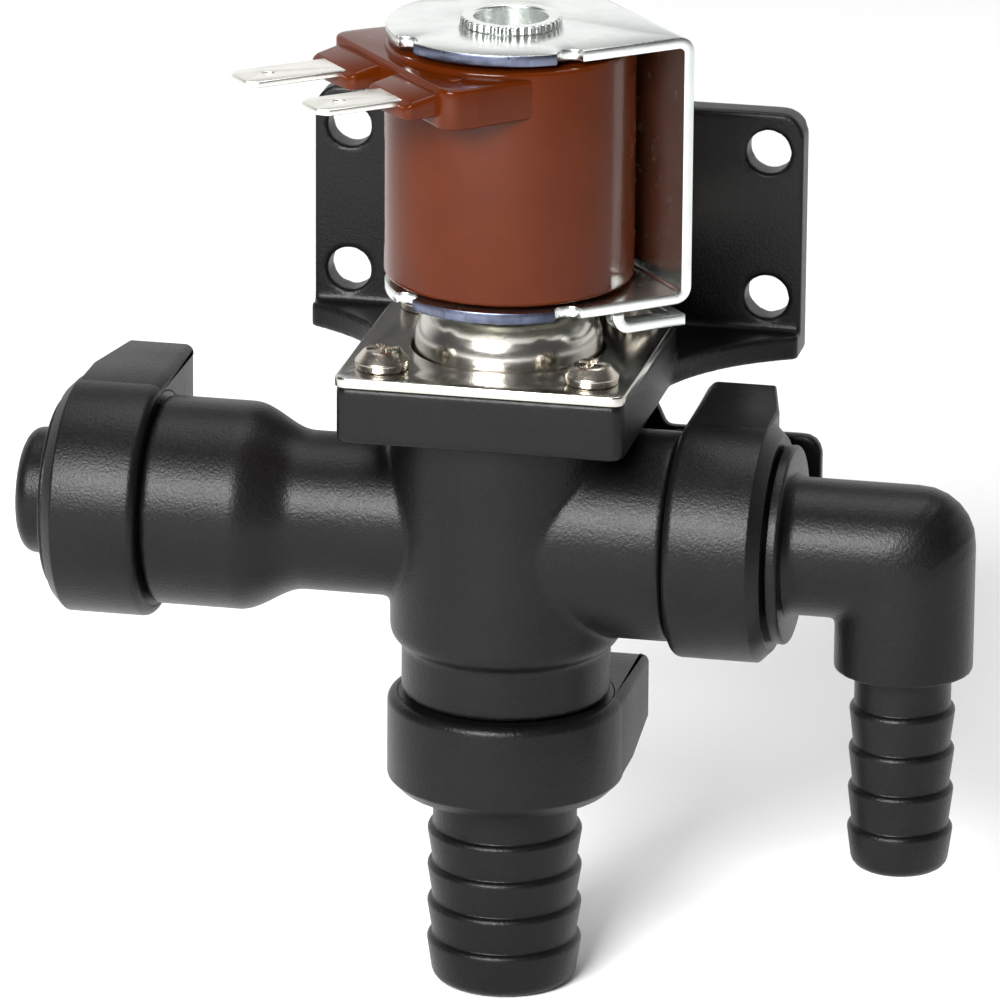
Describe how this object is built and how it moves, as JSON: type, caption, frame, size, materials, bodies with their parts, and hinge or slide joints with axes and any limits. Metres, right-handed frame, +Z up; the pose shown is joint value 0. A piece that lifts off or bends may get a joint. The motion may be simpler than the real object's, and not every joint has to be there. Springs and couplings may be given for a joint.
{
  "type": "solenoid valve",
  "caption": "Pilot-operated solenoid valve with a wall bracket, a push-fit inlet, elbow and straight hose tails held by locking collars, and a coil in a steel yoke.",
  "frame": {"origin": "centre of the four bracket holes, on the bracket's back face, which goes against the wall", "axes": "+Z up along the valve axis, +X from the inlet to the elbow along the pipes, +Y into the wall"},
  "size_m": [0.1241, 0.0631, 0.1295],
  "materials": {
    "body_plastic": "moulded, fine grain",
    "cover_steel": "rolled stainless",
    "tube_steel": "drawn stainless",
    "screw_steel": "plated",
    "core_steel": "turned magnetic stainless",
    "zinc_steel": "blue-white zinc plate",
    "coil_plastic": "glossy, moulded",
    "terminal_tin": "tinned",
    "seal_rubber": "matt",
    "winding_copper": "enamelled copper wire",
    "bobbin_plastic": "moulded",
    "insert_plastic": "moulded"
  },
  "bodies": {
    "valve_body": {"valve_body": "body_plastic", "cover_plate": "cover_steel", "cover_screws": "screw_steel", "guide_tube": "tube_steel", "fixed_core": "core_steel", "diaphragm": "seal_rubber"},
    "armature": {"armature": "core_steel", "armature_seal": "seal_rubber", "armature_spring": "core_steel"},
    "diaphragm_insert": {"diaphragm_insert": "insert_plastic"},
    "coil": {"coil_overmould": "coil_plastic", "coil_bobbin": "bobbin_plastic", "coil_winding": "winding_copper", "terminal_front": "terminal_tin", "terminal_rear": "terminal_tin", "yoke": "zinc_steel", "upper_pole_bush": "zinc_steel", "lower_pole_bush": "zinc_steel", "coil_clip": "zinc_steel"},
    "collar_inlet": {"collar_inlet": "body_plastic"},
    "collar_elbow": {"collar_elbow": "body_plastic"},
    "collar_barb": {"collar_barb": "body_plastic"},
    "inlet_cartridge": {"inlet_cartridge": "body_plastic", "inlet_cartridge_seal": "seal_rubber", "inlet_tube_seal": "seal_rubber"},
    "inlet_collet": {"inlet_collet": "body_plastic", "inlet_grab_ring": "core_steel"},
    "elbow": {"elbow_fitting": "body_plastic", "elbow_seal": "seal_rubber"},
    "barb": {"barb_fitting": "body_plastic", "barb_seal": "seal_rubber"}
  },
  "joints": [
    {"name": "coil_swivel", "type": "hinge", "parent": "valve_body", "child": "coil", "pos_m": [0, -0.0347, 0], "axis": [0, 0, 1], "continuous": true},
    {"name": "armature_lift", "type": "slide", "parent": "valve_body", "child": "armature", "axis": [0, 0, 1], "range_m": [0, 0.0025], "stiffness_N_per_m": 250, "springref_m": -0.002, "deforming": ["armature_spring"]},
    {"name": "diaphragm_lift", "type": "slide", "parent": "valve_body", "child": "diaphragm_insert", "axis": [0, 0, 1], "range_m": [0, 0.002], "deforming": ["diaphragm"]},
    {"name": "collar_inlet_turn", "type": "hinge", "parent": "valve_body", "child": "collar_inlet", "pos_m": [-0.0456, -0.0347, -0.033], "axis": [-1, 0, 0], "range_deg": [0, 60]},
    {"name": "collar_elbow_turn", "type": "hinge", "parent": "valve_body", "child": "collar_elbow", "pos_m": [0.0227, -0.0347, -0.033], "axis": [1, 0, 0], "range_deg": [0, 60]},
    {"name": "collar_barb_turn", "type": "hinge", "parent": "valve_body", "child": "collar_barb", "pos_m": [0, -0.0347, -0.0555], "axis": [0, 0, -1], "range_deg": [0, 60]},
    {"name": "inlet_swivel", "type": "hinge", "parent": "valve_body", "child": "inlet_cartridge", "pos_m": [-0.0456, -0.0347, -0.033], "axis": [-1, 0, 0], "continuous": true},
    {"name": "collet_press", "type": "slide", "parent": "inlet_cartridge", "child": "inlet_collet", "axis": [1, 0, 0], "range_m": [0, 0.002]},
    {"name": "elbow_swivel", "type": "hinge", "parent": "valve_body", "child": "elbow", "pos_m": [0.0227, -0.0347, -0.033], "axis": [1, 0, 0], "continuous": true},
    {"name": "barb_swivel", "type": "hinge", "parent": "valve_body", "child": "barb", "pos_m": [0, -0.0347, -0.0555], "axis": [0, 0, -1], "continuous": true}
  ],
  "couplings": [
    {"joint": "diaphragm_lift", "follows": "armature_lift", "ratio": 0.8}
  ]
}
